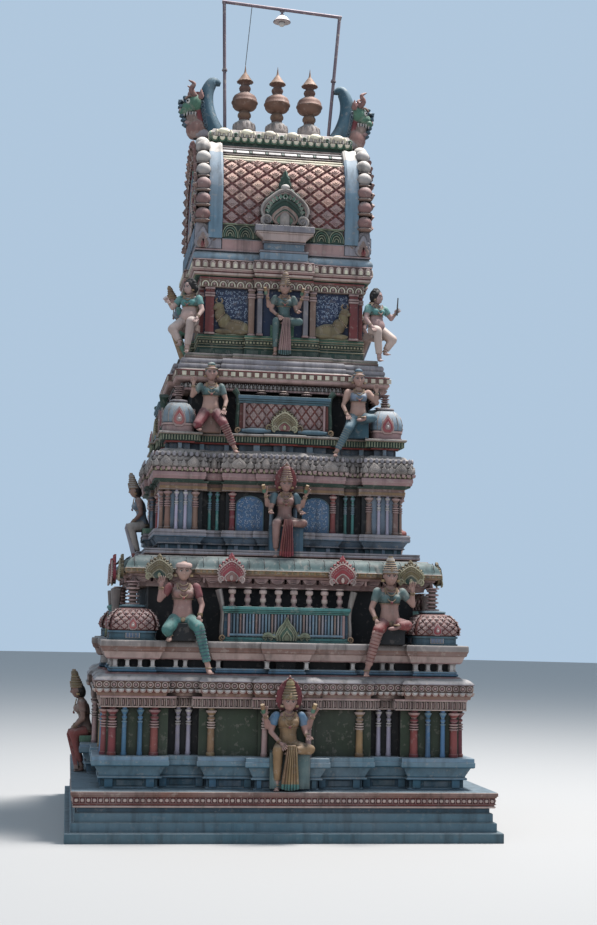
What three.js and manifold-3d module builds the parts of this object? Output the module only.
// A painted gopuram: a small three-storey temple tower of plastered masonry with a barrel-vaulted roof.
// Millimetres, +Z up. The origin is the centre of the plinth's underside and the front faces -Y.
// Each storey is a solid mass, stacked from mouldings that follow one stepped plan.
import * as THREE from "three";
import { mergeVertices } from "three/addons/utils/BufferGeometryUtils.js";
import Module from "manifold-3d";

const wasm = await Module();
wasm.setup();

// Driving heights of the courses, from the ground up
const BAND_BOTTOM = 356;
const PLINTH_TOP = 520;
const BASE_1_TOP = 860;
const WALL_1_TOP = 1360;
const FRIEZE_1_TOP = 1480;
const EAVE_1_TOP = 1720;
const LEDGE_1_TOP = 2060;
const PARAPET_1_TOP = 2690;
const CROWN_1_TOP = 2980;
const FLOOR_2_TOP = 3060;
const BASE_2_TOP = 3280;
const WALL_2_TOP = 3720;
const FRIEZE_2_TOP = 3820;
const EAVE_2_TOP = 4185;
const LEDGE_2_TOP = 4375;
const PARAPET_2_TOP = 4910;
const CROWN_2_TOP = 5255;
const SLAB_3_TOP = 5325;
const BASE_3_TOP = 5570;
const WALL_3_TOP = 6125;
const FRIEZE_3_TOP = 6240;
const CORNICE_3_TOP = 6450;
const SEAT_TOP = 6580;
const VAULT_SPRING = 6710;
const PEDESTAL_TOP = 6870;
const WING_TOP = 6900;
const VAULT_TOP = 7890;
const RIDGE_TOP = 8160;

// Widths of the roof, along X
const VAULT_HALF = 720;
const RIB_OUTER = 900;
const GABLE_OUTER = 1040;
const RIDGE_HALF = 820;
const VAULT_FOOT = 870;
const ARCH_FRONT = 955;
const ARCH_FOOT_HALF = 295;
const ARCH_CAP_REACH = 50;

// The gable's horseshoe
const GABLE_LOBES = 17;
const GABLE_LOBE_SHARE = 0.045;
const GABLE_CENTRE_Z = 7240;
const GABLE_RADIUS_Y = 860;
const GABLE_RADIUS_Z = 880;
const GABLE_UNDERCUT = 0.3;
const GABLE_FOOT_HALF = 810;
const RIB_RELIEF = 50;

// Small pieces
const KALASAM_SPACING = 405;
const PIPE_RADIUS = 21;
const WIRE_RADIUS = 5;
const BEAST_X = 935;
const BEAST_THICKNESS = 240;
const KALASAM_HEIGHT = 990;
const SEAT_BLOCK = 50;
const TORSO_DEPTH = 0.6;
const PANEL_DEPTH = 400;

// The pipe frame over the finials: it leans a little, so each post has a foot and a head
const POST_FEET = [-637, 638];
const POST_HEADS = [-690, 768];
const BAR_LEFT_X = -715;
const BAR_RIGHT_X = 793;
const BAR_LEFT_Z = 9940;
const BAR_RIGHT_Z = 9855;
const LAMP_X = 38;
const LAMP_STEM = 62;
const WIRE_TOP_X = -343;

// The room that two solids leave each other, and a length past the whole tower, for cutting
const GAP = 0.3;
const FAR = 4000;

// Stepped plans: w and d are the half width and half depth at the corner bays, c is where the corner bay
// ends, p where the side bay begins after the recess, and m the half width of the middle projection.
const PLANS = {
  plinth: { w: 2300, d: 2250 },
  base1: { w: 2050, d: 2000, c: 1240, p: 950, m: 450, recess: 110, forward: 110 },
  wall1: { w: 1900, d: 1850, c: 1255, p: 930, m: 300, recess: 130, forward: 60 },
  eave1: { w: 2050, d: 1975, c: 1245, p: 945, m: 390, recess: 90, forward: 45 },
  ledge1: { w: 1990, d: 1920, c: 1300, p: 860, m: 295, recess: 90, forward: 60 },
  crown1: { w: 1754, d: 1660, m: 1005, forward: 60 },
  floor2: { w: 1540, d: 1470, m: 640, forward: 50 },
  base2: { w: 1447, d: 1380, c: 860, p: 695, m: 350, recess: 90, forward: 60 },
  wall2: { w: 1340, d: 1270, c: 905, p: 640, m: 165, recess: 110, forward: 40 },
  eave2: { w: 1475, d: 1380, c: 875, p: 702, m: 330, recess: 90, forward: 40 },
  ledge2: { w: 1411, d: 1310, c: 925, p: 625, m: 240, recess: 80, forward: 50 },
  crown2: { w: 1240, d: 1130, m: 775, forward: 60 },
  base3: { w: 1125, d: 1010, m: 585, forward: 50 },
  wall3: { w: 910, d: 840, m: 300, forward: 50 },
  cornice3: { w: 1065, d: 930, m: 364, forward: 60 },
};

// The upper step of the third base, on which its figures sit
const BASE_3_SEAT = { w: 980, d: 865, forward: 50 };

// The corner domes' profile: how high, in shares of the rise, and how far out, in shares of the half width
const DOME_PROFILE = [
  [0, 1], [0.24, 1], [0.24, 0.92], [0.5, 1], [0.85, 0.94], [1.15, 0.72], [1.35, 0.4], [1.42, 0.22],
];
const DOME_POST_SHARE = 0.22;
const DOME_RISE = 268;

// The front half of the vault's section: how far out, and how high
const VAULT_PROFILE = [
  [845, VAULT_SPRING], [858, 6900], [858, 7130], [850, 7330], [790, 7560], [690, 7750], [570, VAULT_TOP],
];

const COLOURS = {
  teal: 0x3f6f78,
  stoneBlue: 0x5f7f88,
  oliveGreen: 0x2e3a2a,
  brickRed: 0x8a2f2c,
  mauveGrey: 0x8d7f80,
  ochre: 0xa9814f,
  pinkGrey: 0xa3807c,
  darkGreen: 0x1f3a32,
  paleGreen: 0xb9c3a2,
  tilePink: 0xb98478,
  bronze: 0x8a6a52,
  skin: 0xb78a78,
  pipe: 0x6d5a64,
  enamel: 0xb9aca8,
  wire: 0x3a3a3a,
};

function paint(colour, roughness = 0.8, metalness = 0) {
  return new THREE.MeshStandardMaterial({ color: colour, roughness, metalness });
}

// A solid for joining and cutting, from a closed three.js geometry
function solidFrom(geometry) {
  const bare = geometry.index ? geometry.toNonIndexed() : geometry.clone();
  bare.deleteAttribute("normal");
  bare.deleteAttribute("uv");
  const merged = mergeVertices(bare, 1e-3);
  const mesh = new wasm.Mesh({
    numProp: 3,
    vertProperties: merged.attributes.position.array,
    triVerts: new Uint32Array(merged.index.array),
  });
  return new wasm.Manifold(mesh);
}

function geometryFrom(solid) {
  const mesh = solid.getMesh();
  const geometry = new THREE.BufferGeometry();
  geometry.setAttribute("position", new THREE.BufferAttribute(mesh.vertProperties, 3));
  geometry.setIndex(new THREE.BufferAttribute(mesh.triVerts, 1));
  geometry.computeVertexNormals();
  return geometry;
}

function join(geometries) {
  const solids = geometries.map(solidFrom);
  return geometryFrom(solids.reduce((whole, piece) => whole.add(piece)));
}

// One side of a stepped plan, as distances along the side and out from the centre, from corner to corner
function sideRun(plan, along, out, grow) {
  const scale = along / plan.w;
  const face = out + grow;
  const run = [[-(along + grow), face]];
  if (plan.recess) {
    const deep = face - plan.recess;
    const outer = plan.c * scale - grow;
    const inner = plan.p * scale + grow;
    run.push([-outer, face], [-outer, deep], [-inner, deep], [-inner, face]);
  }
  if (plan.m) {
    const middle = plan.m * scale + grow;
    run.push([-middle, face], [-middle, face + plan.forward]);
  }
  const mirrored = run.slice(1).reverse();
  return run.concat(mirrored.map(([a, b]) => [-a, b]));
}

// The plan's outline, anticlockwise, with every wall moved out by grow
function outline(plan, grow) {
  const long = sideRun(plan, plan.w, plan.d, grow);
  const short = sideRun(plan, plan.d, plan.w, grow);
  return [
    ...long.map(([a, b]) => new THREE.Vector2(a, -b)),
    ...short.map(([a, b]) => new THREE.Vector2(b, a)),
    ...long.map(([a, b]) => new THREE.Vector2(-a, b)),
    ...short.map(([a, b]) => new THREE.Vector2(-b, -a)),
  ];
}

// A closed solid through rings of equal length, each a list of points at one height
function loft(rings) {
  const count = rings[0].points.length;
  const positions = [];
  for (const { points, z } of rings) {
    points.forEach((point) => positions.push(point.x, point.y, z));
  }
  const index = [];
  for (let level = 0; level + 1 < rings.length; level += 1) {
    for (let i = 0; i < count; i += 1) {
      const a = level * count + i;
      const b = level * count + ((i + 1) % count);
      index.push(a, b, b + count, a, b + count, a + count);
    }
  }
  const top = (rings.length - 1) * count;
  THREE.ShapeUtils.triangulateShape(rings[0].points, []).forEach(([a, b, c]) => index.push(c, b, a));
  THREE.ShapeUtils.triangulateShape(rings.at(-1).points, []).forEach(([a, b, c]) => {
    index.push(top + a, top + b, top + c);
  });
  const geometry = new THREE.BufferGeometry();
  geometry.setAttribute("position", new THREE.Float32BufferAttribute(positions, 3));
  geometry.setIndex(index);
  return geometry;
}

// A mass of masonry on a plan: steps are pairs of a height and how far the moulding stands out there
function mass(plan, steps) {
  return loft(steps.map(([z, grow]) => ({ points: outline(plan, grow), z })));
}

function box(x, y, z, width, depth, height) {
  return new THREE.BoxGeometry(width, depth, height).translate(x, y, z + height / 2);
}

// Places a shape made for the front on each of the four sides: its y is how far out it stands
function onSides(plan, make) {
  const shapes = [];
  [0, 1, 2, 3].forEach((turn) => {
    const odd = turn % 2 === 1;
    const along = odd ? plan.d / plan.w : 1;
    const out = odd ? plan.w : plan.d;
    make(along, out).forEach((shape) => shapes.push(shape.rotateZ((turn * Math.PI) / 2)));
  });
  return shapes;
}

// Pilasters hang below their frieze course, which lies on the wall's top
function pilasters(plan, bottom, wallTop, friezeTop, rows, grow) {
  const frieze = mass(plan, [[wallTop, grow], [friezeTop, grow]]);
  const shafts = onSides(plan, (scale, out) =>
    rows.flatMap(({ places, width, back }) =>
      places.flatMap((place) =>
        [-1, 1].map((side) => {
          const depth = grow - 10;
          const face = out - back;
          const height = wallTop - bottom + 10;
          return box(side * place * scale, -(face + depth / 2), bottom, width, depth, height);
        }),
      ),
    ),
  );
  return join([frieze, ...shafts]);
}

// A square corner shrine of the parapet, under a bell-shaped dome with a post above it
function cornerDome(x, y, z, half, postTop) {
  const rings = DOME_PROFILE.map(([up, out]) => {
    return { points: square(x, y, half * out), z: z + up * DOME_RISE };
  });
  rings.push({ points: square(x, y, half * DOME_POST_SHARE), z: postTop });
  return loft(rings);
}

function square(x, y, half) {
  const corners = [[-1, -1], [1, -1], [1, 1], [-1, 1]];
  return corners.map(([a, b]) => new THREE.Vector2(x + a * half, y + b * half));
}

// A parapet: a plain core, a dome at each corner and a panel block in the middle of each side
function parapet({ core, panel, bottom, top, dome, inset, domeX, domeY }) {
  const pieces = [mass(core, [[bottom, 0], [top, 0]])];
  for (const x of [-domeX, domeX]) {
    for (const y of [-domeY, domeY]) {
      pieces.push(cornerDome(x, y, bottom, dome, top));
    }
  }
  pieces.push(
    ...onSides(core, (scale, out) => [
      box(0, -(out + inset - PANEL_DEPTH / 2), bottom, 2 * panel.half * scale, PANEL_DEPTH, panel.height),
    ]),
  );
  return join(pieces);
}

// The vault's section, from the front foot over the top to the back foot
function vaultSection(grow) {
  const points = VAULT_PROFILE.map(([y, z]) => new THREE.Vector2(-(y + grow), z));
  const back = [...points].reverse().map((p) => new THREE.Vector2(-p.x, p.y));
  return [...points, ...back].reverse();
}

// A slab with its section in the YZ plane, between two places along X
function acrossX(section, from, to) {
  const shape = new THREE.Shape(section);
  const slab = new THREE.ExtrudeGeometry(shape, { depth: to - from, bevelEnabled: false });
  return slab.rotateX(Math.PI / 2).rotateZ(Math.PI / 2).translate(from, 0, 0);
}

function vault() {
  return join([
    acrossX(vaultSection(0), -VAULT_HALF, VAULT_HALF),
    mass({ w: VAULT_HALF, d: VAULT_FOOT }, [[SEAT_TOP, 0], [VAULT_SPRING, 0]]),
  ]);
}

// The flaming gable at the right end: a horseshoe with a lobed edge, behind a plain curved rib
function gable() {
  const steps = GABLE_LOBES * 4;
  const edge = [];
  for (let i = 0; i <= steps; i += 1) {
    const turn = -GABLE_UNDERCUT + (Math.PI + 2 * GABLE_UNDERCUT) * (i / steps);
    const lobe = 1 + GABLE_LOBE_SHARE * Math.abs(Math.sin((GABLE_LOBES * Math.PI * i) / steps));
    const y = Math.cos(turn) * GABLE_RADIUS_Y * lobe;
    edge.push(new THREE.Vector2(y, GABLE_CENTRE_Z + Math.sin(turn) * GABLE_RADIUS_Z * lobe));
  }
  edge.push(new THREE.Vector2(-GABLE_FOOT_HALF, SEAT_TOP), new THREE.Vector2(GABLE_FOOT_HALF, SEAT_TOP));
  const leaf = acrossX(edge, RIB_OUTER - 20, GABLE_OUTER);
  const rib = acrossX(vaultSection(RIB_RELIEF), VAULT_HALF, RIB_OUTER);
  const wing = new THREE.Shape();
  wing.moveTo(VAULT_HALF, SEAT_TOP);
  wing.lineTo(GABLE_OUTER, SEAT_TOP);
  wing.lineTo(GABLE_OUTER, WING_TOP);
  wing.lineTo(960, WING_TOP);
  wing.quadraticCurveTo(900, 6740, VAULT_HALF, VAULT_SPRING + 10);
  const depth = 2 * VAULT_FOOT;
  const foot = new THREE.ExtrudeGeometry(wing, { depth, bevelEnabled: false, curveSegments: 5 });
  return join([leaf, rib, foot.rotateX(Math.PI / 2).translate(0, VAULT_FOOT, 0)]);
}

// The small arch in the middle of the vault, on its moulded pedestal. Its foot is let into the roof seat.
function roofArch() {
  const depth = ARCH_FRONT - VAULT_FOOT;
  const height = SEAT_TOP + 10 - CORNICE_3_TOP;
  const foot = box(0, -(VAULT_FOOT + depth / 2), CORNICE_3_TOP, 2 * ARCH_FOOT_HALF, depth, height);
  const plan = { w: ARCH_FOOT_HALF + ARCH_CAP_REACH, d: (depth + ARCH_CAP_REACH) / 2 };
  const neck = box(0, -(VAULT_FOOT + GAP + 50), SEAT_TOP, 480, 100, 110);
  const steps = [[6685, -45], [6780, -8], [6785, 0], [PEDESTAL_TOP, 0]];
  const pedestal = mass(plan, steps).translate(0, -(VAULT_FOOT + GAP + plan.d), 0);
  const arch = new THREE.Shape();
  arch.moveTo(-240, 0);
  arch.bezierCurveTo(-310, 180, -270, 420, -60, 480);
  arch.lineTo(0, 735);
  arch.lineTo(60, 480);
  arch.bezierCurveTo(270, 420, 310, 180, 240, 0);
  const slab = new THREE.ExtrudeGeometry(arch, { depth: 90, bevelEnabled: false, curveSegments: 6 });
  slab.rotateX(Math.PI / 2).translate(0, -(VAULT_FOOT + GAP + 10), PEDESTAL_TOP - 10);
  return join([foot, neck, pedestal, slab]);
}

function ridge() {
  const plan = { w: RIDGE_HALF, d: 450 };
  const edge = VAULT_TOP + 60;
  return mass(plan, [[VAULT_TOP, 30], [edge, 60], [edge, -10], [8010, 10], [8090, 30], [RIDGE_TOP, 0]]);
}

// A closed shape turned about the vertical, from pairs of a radius and a height
function turned(profile, sides) {
  const points = profile.map(([r, z]) => new THREE.Vector2(r, z));
  return new THREE.LatheGeometry(points, sides).rotateX(Math.PI / 2);
}

// A metal pot finial
function kalasam() {
  const foot = [[0, 0], [150, 0], [150, 150], [130, 225], [72, 290], [84, 345], [62, 395]];
  const pot = [[120, 430], [152, 500], [152, 545], [115, 615], [56, 655], [70, 690], [52, 725]];
  const cap = [[94, 770], [88, 795], [38, 850], [12, 900], [0, KALASAM_HEIGHT]];
  return turned([...foot, ...pot, ...cap], 10);
}

// The horned beast's head at each end of the ridge, with its crest curling inwards
function ridgeBeast() {
  const shape = new THREE.Shape();
  shape.moveTo(-150, 0);
  shape.quadraticCurveTo(-150, 220, -270, 300);
  shape.quadraticCurveTo(-310, 480, -250, 620);
  shape.quadraticCurveTo(-160, 620, -100, 540);
  shape.quadraticCurveTo(-60, 760, 70, 790);
  shape.quadraticCurveTo(190, 790, 180, 670);
  shape.quadraticCurveTo(60, 700, 60, 480);
  shape.quadraticCurveTo(80, 220, 260, 0);
  const depth = BEAST_THICKNESS;
  const head = new THREE.ExtrudeGeometry(shape, { depth, bevelEnabled: false, curveSegments: 5 });
  return head.rotateX(Math.PI / 2).translate(0, depth / 2, 0);
}

// Turns a shape made along +Y so that it runs from one point towards another
function aim(shape, from, to) {
  const way = new THREE.Vector3(...to).sub(new THREE.Vector3(...from)).normalize();
  const turn = new THREE.Quaternion().setFromUnitVectors(new THREE.Vector3(0, 1, 0), way);
  return shape.applyQuaternion(turn).translate(...from);
}

function distance(from, to) {
  return new THREE.Vector3(...from).distanceTo(new THREE.Vector3(...to));
}

// A round bar between two points
function bar(from, to, radius, sides = 10) {
  const length = distance(from, to);
  const shape = new THREE.CylinderGeometry(radius, radius, length, sides);
  return aim(shape.translate(0, length / 2, 0), from, to);
}

// The enamelled lamp shade under its stem, closed by its reflector, with the bulb's tip below
function lamp() {
  const bulb = [[0, -100], [34, -84], [34, -66]];
  const shade = [[110, -70], [60, -6], [14, 4], [14, LAMP_STEM], [0, LAMP_STEM]];
  return turned([...bulb, ...shade], 14);
}

// A limb between two joints, tapering
function limb(from, to, wide, narrow) {
  const length = distance(from, to) + wide;
  const shape = new THREE.CylinderGeometry(narrow, wide, length, 4);
  return aim(shape.translate(0, (length - wide) / 2, 0), from, to);
}

function torso(height) {
  const profile = [[0, 0], [0.28, 0], [0.3, 0.18], [0.2, 0.46], [0.32, 0.8], [0.08, 1.02], [0, 1.04]];
  return turned(profile, 6).scale(height, TORSO_DEPTH * height, height);
}

// One leg bent across the seat with its knee spread, and the other hanging past the seat's edge. The hanging
// knee swings aside, and its foot strays further.
function sittingLegs({ height: h, drop, bentSide, reach, spread = 0.56, swing, stray }) {
  const at = (x, y, z) => [x * h, y * h, z * h];
  return [-1, 1].flatMap((side) => {
    const bent = side === bentSide;
    const knee = bent ? at(side * spread, -reach * 0.8, 0.16) : at(side * swing, -reach, 0.08);
    const hanging = at(side * stray, -reach, 0.12 - drop / h);
    const foot = bent ? at(side * 0.05, -reach, 0.14) : hanging;
    const thigh = limb(at(side * 0.14, -0.02, 0.15), knee, 0.16 * h, 0.13 * h);
    const shin = limb(knee, foot, 0.12 * h, 0.08 * h);
    const sole = box(foot[0], foot[1] - 0.04 * h, -drop, 0.15 * h, 0.26 * h, 0.16 * h);
    return bent ? [thigh, shin] : [thigh, shin, sole];
  });
}

// Both legs under one skirt, for the figures on the plainer sides
function skirtedLegs({ height: h, drop, reach }) {
  const lap = box(0, -0.5 * reach * h, 0.02 * h, 0.52 * h, (reach + 0.16) * h, 0.2 * h);
  const fall = box(0, -reach * h, -drop, 0.36 * h, 0.18 * h, drop + 0.12 * h);
  return [lap, fall];
}

// A seated stucco figure, facing -Y, with the origin below its hips on the seat. The height is the torso's,
// and the limbs are shares of it. The body leans forward by the given share, and nothing of the figure goes
// below the seat behind the edge.
function seatedFigure(pose) {
  const { height: h, crown, arms, legs = sittingLegs, edge, lean = 0, block = 0, back = 0 } = pose;
  const at = (x, y, z) => [x * h, y * h, z * h];
  const head = new THREE.SphereGeometry(1, 6, 4).rotateX(Math.PI / 2).scale(0.16 * h, 0.17 * h, 0.22 * h);
  const cap = new THREE.ConeGeometry(0.18 * h, (crown + 0.1) * h, 6).rotateX(Math.PI / 2);
  head.translate(...at(0, -0.05, 1.2));
  cap.translate(...at(0, 0, 1.28 + crown / 2));
  const upper = [torso(h), head, cap];
  for (const [from, to] of [-1, 1].flatMap(arms)) {
    upper.push(limb(at(...from), at(...to), 0.09 * h, 0.07 * h));
  }
  const bend = new THREE.Matrix4().set(1, 0, 0, 0, 0, 1, -lean, 0, 0, 0, 1, 0, 0, 0, 0, 1);
  const pieces = [...legs(pose), ...upper.map((piece) => piece.applyMatrix4(bend))];
  if (block) {
    pieces.push(box(0, (back + edge) / 2, -block, 0.76 * h, back - edge, block + 0.1 * h));
  }
  const seat = box(0, edge + FAR / 2, -block - FAR, FAR, FAR, FAR);
  return geometryFrom(solidFrom(join(pieces)).subtract(solidFrom(seat)));
}

// The upper arms part at the elbow into two forearms, one held out in front and one raised
function fourArms(side) {
  const elbow = [side * 0.5, -0.08, 0.58];
  return [
    [[side * 0.26, 0, 0.86], elbow],
    [elbow, [side * 0.4, -0.34, 0.68]],
    [elbow, [side * 0.6, -0.1, 1.08]],
  ];
}

// Plain arms, each with its hand on the knee
function lapArms(side) {
  return [[[side * 0.26, 0, 0.84], [side * 0.3, -0.26, 0.24]]];
}

// The outer arm holds up the cornice and the inner arm rests on the thigh
function propArms(outer) {
  return (side) => {
    const shoulder = [side * 0.29, -0.02, 0.88];
    const elbow = side === outer ? [side * 0.46, -0.12, 0.6] : [side * 0.5, -0.1, 0.52];
    const hand = side === outer ? [side * 0.4, -0.16, 0.98] : [side * 0.34, -0.34, 0.26];
    return [[shoulder, elbow], [elbow, hand]];
  };
}

const tower = new THREE.Group();

function add(name, geometry, material, position = [0, 0, 0], turn = 0) {
  const mesh = new THREE.Mesh(geometry, material);
  mesh.name = name;
  mesh.position.set(...position);
  mesh.rotation.z = turn;
  tower.add(mesh);
}

function addPlinth() {
  const courses = [
    [0, 0], [105, 0], [105, -60], [205, -60], [205, -95], [300, -95], [300, -125], [BAND_BOTTOM, -125],
    [BAND_BOTTOM, -70], [390, -50], [PLINTH_TOP, -50],
  ];
  add("plinth", mass(PLANS.plinth, courses), paint(COLOURS.teal));
}

function addStorey1() {
  const base = [
    [PLINTH_TOP, -110], [630, -110], [630, -60], [655, -60], [760, -75], [760, 0], [BASE_1_TOP, 0],
  ];
  add("storey1_base", mass(PLANS.base1, base), paint(COLOURS.stoneBlue));
  add("storey1_wall", mass(PLANS.wall1, [[BASE_1_TOP, 0], [WALL_1_TOP, 0]]), paint(COLOURS.oliveGreen));
  const rows = [
    { places: [1840, 1400], width: 110, back: 0 },
    { places: [1715, 1550], width: 70, back: 0 },
    { places: [1145, 1030], width: 70, back: 130 },
    { places: [800], width: 100, back: 0 },
    { places: [235], width: 90, back: -60 },
  ];
  const columns = pilasters(PLANS.wall1, BASE_1_TOP, WALL_1_TOP, FRIEZE_1_TOP, rows, 80);
  add("storey1_pilasters", columns, paint(COLOURS.brickRed));
  const eave = [
    [FRIEZE_1_TOP, -90], [FRIEZE_1_TOP, -5], [1530, 0], [1600, -10], [1660, -45], [1700, -110],
    [EAVE_1_TOP, -140],
  ];
  add("storey1_eave", mass(PLANS.eave1, eave), paint(COLOURS.mauveGrey));
  const ledge = [
    [EAVE_1_TOP, -110], [1775, -110], [1775, -190], [1865, -190], [1865, -90], [1955, -20], [1990, 0],
    [LEDGE_1_TOP, 0],
  ];
  add("storey1_ledge", mass(PLANS.ledge1, ledge), paint(COLOURS.ochre));
  const walls = parapet({
    core: { w: 1480, d: 1400 },
    panel: { half: 690, height: 380 },
    bottom: LEDGE_1_TOP,
    top: PARAPET_1_TOP,
    dome: 262,
    inset: 370,
    domeX: 1655,
    domeY: 1585,
  });
  add("storey1_parapet", walls, paint(COLOURS.pinkGrey));
  const crown = [
    [PARAPET_1_TOP, -200], [2750, -130], [2790, -130], [2790, -20], [2830, 0], [2870, -20], [2930, -80],
    [CROWN_1_TOP, -150],
  ];
  add("storey1_crown", mass(PLANS.crown1, crown), paint(COLOURS.teal));
}

function addStorey2() {
  add("storey2_floor", mass(PLANS.floor2, [[CROWN_1_TOP, 0], [FLOOR_2_TOP, 0]]), paint(COLOURS.pinkGrey));
  const base = [[FLOOR_2_TOP, -90], [3120, -90], [3120, -40], [3205, -70], [3205, 0], [BASE_2_TOP, 0]];
  add("storey2_base", mass(PLANS.base2, base), paint(COLOURS.stoneBlue));
  add("storey2_wall", mass(PLANS.wall2, [[BASE_2_TOP, 0], [WALL_2_TOP, 0]]), paint(COLOURS.oliveGreen));
  const rows = [
    { places: [1290, 985], width: 85, back: 0 },
    { places: [1195, 1095], width: 55, back: 0 },
    { places: [815, 728], width: 55, back: 110 },
    { places: [570], width: 80, back: 0 },
  ];
  const columns = pilasters(PLANS.wall2, BASE_2_TOP, WALL_2_TOP, FRIEZE_2_TOP, rows, 60);
  add("storey2_pilasters", columns, paint(COLOURS.mauveGrey));
  const eave = [
    [FRIEZE_2_TOP, -80], [FRIEZE_2_TOP, -10], [3870, 0], [3950, -5], [4050, -20], [4130, -60],
    [EAVE_2_TOP, -125],
  ];
  add("storey2_eave", mass(PLANS.eave2, eave), paint(COLOURS.mauveGrey));
  const ledge = [[EAVE_2_TOP, -130], [4260, -130], [4260, -60], [4285, -30], [4325, 0], [LEDGE_2_TOP, 0]];
  add("storey2_ledge", mass(PLANS.ledge2, ledge), paint(COLOURS.ochre));
  const walls = parapet({
    core: { w: 1030, d: 925 },
    panel: { half: 520, height: 445 },
    bottom: LEDGE_2_TOP,
    top: PARAPET_2_TOP,
    dome: 190,
    inset: 330,
    domeX: 1190,
    domeY: 1090,
  });
  add("storey2_parapet", walls, paint(COLOURS.stoneBlue));
  const crown = [
    [PARAPET_2_TOP, -220], [4980, -130], [5000, -30], [5030, 0], [5105, 0], [5125, -60], [CROWN_2_TOP, -80],
  ];
  add("storey2_crown", mass(PLANS.crown2, crown), paint(COLOURS.pinkGrey));
}

function addStorey3() {
  const base = [
    [CROWN_2_TOP, 0], [SLAB_3_TOP, 0], [SLAB_3_TOP, -150], [5430, -150], [5460, -165], [5525, -165],
    [5525, -145],
    [BASE_3_TOP, -145],
  ];
  add("storey3_base", mass(PLANS.base3, base), paint(COLOURS.darkGreen));
  const rows = [{ places: [845, 360], width: 90, back: 0 }];
  add("storey3_wall", mass(PLANS.wall3, [[BASE_3_TOP, 0], [WALL_3_TOP, 0]]), paint(COLOURS.darkGreen));
  const columns = pilasters(PLANS.wall3, BASE_3_TOP, WALL_3_TOP, FRIEZE_3_TOP, rows, 60);
  add("storey3_pilasters", columns, paint(COLOURS.brickRed));
  const cornice = [
    [FRIEZE_3_TOP, -80], [FRIEZE_3_TOP, -40], [6300, -30], [6300, -10], [6350, 0], [6435, 0],
    [CORNICE_3_TOP, -30],
  ];
  add("storey3_cornice", mass(PLANS.cornice3, cornice), paint(COLOURS.pinkGrey));
}

function addRoof() {
  const seat = [[CORNICE_3_TOP, -40], [6555, -80], [6555, -60], [SEAT_TOP, -60]];
  const seatPlan = { w: 1100, d: 940 };
  const room = box(0, 0, CORNICE_3_TOP - 10, 2 * (ARCH_FOOT_HALF + GAP), FAR, 300);
  const keep = box(0, 0, CORNICE_3_TOP - 20, FAR, 2 * (VAULT_FOOT - GAP), 400);
  const recesses = solidFrom(room).subtract(solidFrom(keep));
  const cutSeat = solidFrom(mass(seatPlan, seat)).subtract(recesses);
  add("roof_seat", geometryFrom(cutSeat), paint(COLOURS.stoneBlue));
  add("roof_vault", vault(), paint(COLOURS.tilePink));
  add("roof_arch_front", roofArch(), paint(COLOURS.mauveGrey));
  add("roof_arch_back", roofArch(), paint(COLOURS.mauveGrey), [0, 0, 0], Math.PI);
  add("roof_gable_left", gable(), paint(COLOURS.mauveGrey), [0, 0, 0], Math.PI);
  add("roof_gable_right", gable(), paint(COLOURS.mauveGrey));
  add("roof_ridge", ridge(), paint(COLOURS.paleGreen));
  add("ridge_beast_left", ridgeBeast(), paint(COLOURS.stoneBlue), [-BEAST_X, 0, RIDGE_TOP]);
  add("ridge_beast_right", ridgeBeast(), paint(COLOURS.stoneBlue), [BEAST_X, 0, RIDGE_TOP], Math.PI);
  ["left", "middle", "right"].forEach((name, i) => {
    const place = [(i - 1) * KALASAM_SPACING, 0, RIDGE_TOP];
    add("kalasam_" + name, kalasam(), paint(COLOURS.bronze, 0.5, 0.6), place);
  });
}

// A pipe frame over the finials carries the lamp, and a wire runs from it down to the left finial
function addLampFrame() {
  const steel = paint(COLOURS.pipe, 0.5, 0.7);
  const barEnds = [[BAR_LEFT_X, 0, BAR_LEFT_Z], [BAR_RIGHT_X, 0, BAR_RIGHT_Z]];
  const clearance = solidFrom(bar(...barEnds, PIPE_RADIUS + GAP));
  const between = solidFrom(box(0, 0, RIDGE_TOP, FAR, FAR, BAR_LEFT_Z - RIDGE_TOP - 5));
  const post = (foot, top) => {
    const whole = solidFrom(bar([foot, 0, RIDGE_TOP - 50], top, PIPE_RADIUS));
    const pieces = whole.intersect(between).subtract(clearance).decompose();
    return geometryFrom(pieces.sort((a, b) => b.volume() - a.volume())[0]);
  };
  add("lamp_post_left", post(POST_FEET[0], [POST_HEADS[0], 0, BAR_LEFT_Z]), steel);
  add("lamp_post_right", post(POST_FEET[1], [POST_HEADS[1], 0, BAR_RIGHT_Z]), steel);
  add("lamp_crossbar", bar(...barEnds, PIPE_RADIUS), steel);
  const slope = (BAR_RIGHT_Z - BAR_LEFT_Z) / (BAR_RIGHT_X - BAR_LEFT_X);
  const barAt = (x) => BAR_LEFT_Z + slope * (x - BAR_LEFT_X);
  const under = PIPE_RADIUS + 3 * GAP;
  const lampPlace = [LAMP_X, 0, barAt(LAMP_X) - under - LAMP_STEM];
  add("lamp", lamp(), paint(COLOURS.enamel, 0.4, 0.3), lampPlace);
  const wireFoot = [-KALASAM_SPACING, 0, RIDGE_TOP + KALASAM_HEIGHT + GAP];
  const wireTop = [WIRE_TOP_X, 0, barAt(WIRE_TOP_X) - under];
  add("lamp_wire", bar(wireFoot, wireTop, WIRE_RADIUS, 6), paint(COLOURS.wire, 0.6));
}

const SIDES = ["front", "right", "back", "left"];

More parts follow.
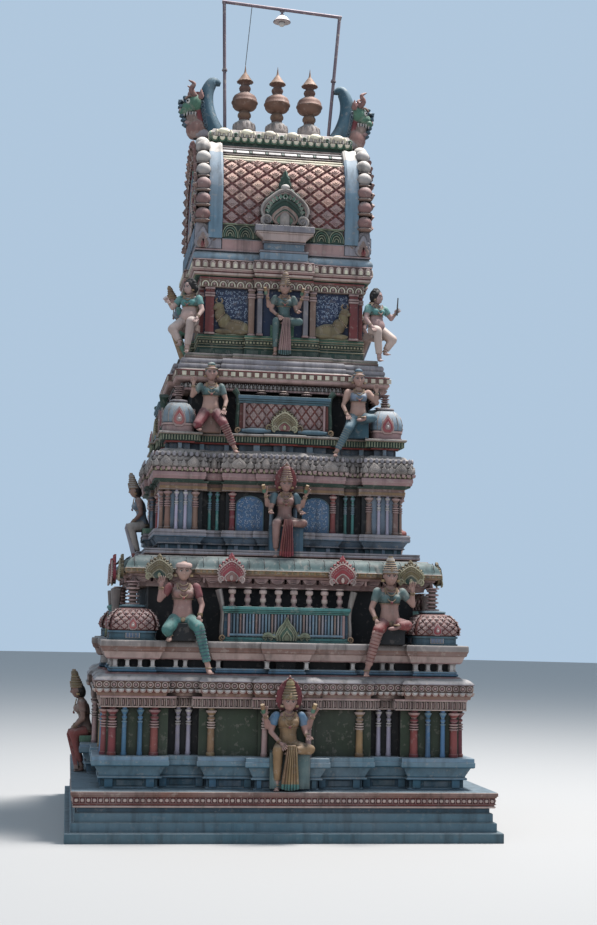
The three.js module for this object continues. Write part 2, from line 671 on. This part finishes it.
// One seated goddess in the middle of each side of a storey, leaning out past the eave above her
function addGoddesses(storey, { wall, base, eave, height, level, drop, reach }) {
  SIDES.forEach((side, turn) => {
    const outOf = (plan) => (turn % 2 === 1 ? plan.w : plan.d) + plan.forward;
    const back = TORSO_DEPTH * 0.3 * height + 16;
    const out = outOf(wall) + back;
    const lean = Math.max(0, outOf(eave) + 8 - out + 0.16 * height) / (1.2 * height);
    const figure = seatedFigure({
      height,
      crown: 0.34,
      arms: turn === 0 ? fourArms : lapArms,
      legs: turn === 0 ? sittingLegs : skirtedLegs,
      drop,
      bentSide: 1,
      reach,
      swing: 0.22,
      stray: 0.24,
      edge: out - outOf(base) - GAP,
      lean,
      block: SEAT_BLOCK,
      back: back - GAP,
    });
    const angle = (turn * Math.PI) / 2;
    const place = [Math.sin(angle) * out, -Math.cos(angle) * out, level + SEAT_BLOCK];
    add("goddess" + storey + "_" + side, figure, paint(COLOURS.skin), place, angle);
  });
}

// A pair of guardians on the ledge, one on each side of the middle panel
function addGuardians(storey, { x, y, level, height, drop, reach, edge }) {
  for (const side of [-1, 1]) {
    const legs = { bentSide: side, reach, spread: 0.36, swing: 0.3, stray: 0.52 };
    const pose = { crown: 0.22, edge: y - edge - GAP, ...legs };
    const figure = seatedFigure({ height, arms: propArms(side), drop, ...pose });
    const name = "guardian" + storey + (side < 0 ? "_left" : "_right");
    add(name, figure, paint(COLOURS.skin), [side * x, -y, level]);
  }
}

// An attendant at each front corner of the top storey, on a small block of her own
function addAttendants() {
  for (const side of [-1, 1]) {
    const level = BASE_3_TOP - 30;
    const pose = { height: 455, crown: 0.12, drop: 250, reach: 0.3, swing: 0.18, stray: 0.2, edge: 60 };
    const figure = seatedFigure({ arms: propArms(side), bentSide: 0, ...pose });
    const seat = box(-side * 30, 68, SLAB_3_TOP - level, 150, 120, level + 20 - SLAB_3_TOP);
    const name = "attendant" + (side < 0 ? "_left" : "_right");
    add(name, join([figure, seat]), paint(COLOURS.skin), [side * 1090, -1010, level]);
  }
}

addPlinth();
addStorey1();
addStorey2();
addStorey3();
addRoof();
addLampFrame();
const places1 = { wall: PLANS.wall1, base: PLANS.base1, eave: PLANS.eave1, level: BASE_1_TOP };
const places2 = { wall: PLANS.wall2, base: PLANS.base2, eave: PLANS.eave2, level: BASE_2_TOP };
const places3 = { wall: PLANS.wall3, base: BASE_3_SEAT, eave: PLANS.cornice3, level: BASE_3_TOP };
addGoddesses(1, { ...places1, height: 460, drop: 390, reach: 0.34 });
addGoddesses(2, { ...places2, height: 405, drop: 345, reach: 0.4 });
addGoddesses(3, { ...places3, height: 415, drop: 292, reach: 0.3 });
addGuardians(1, { x: 1130, y: 1790, level: LEDGE_1_TOP, height: 528, drop: 335, reach: 0.42, edge: 1921 });
addGuardians(2, { x: 842, y: 1268, level: LEDGE_2_TOP, height: 515, drop: 240, reach: 0.32, edge: 1311 });
addAttendants();

export default tower;
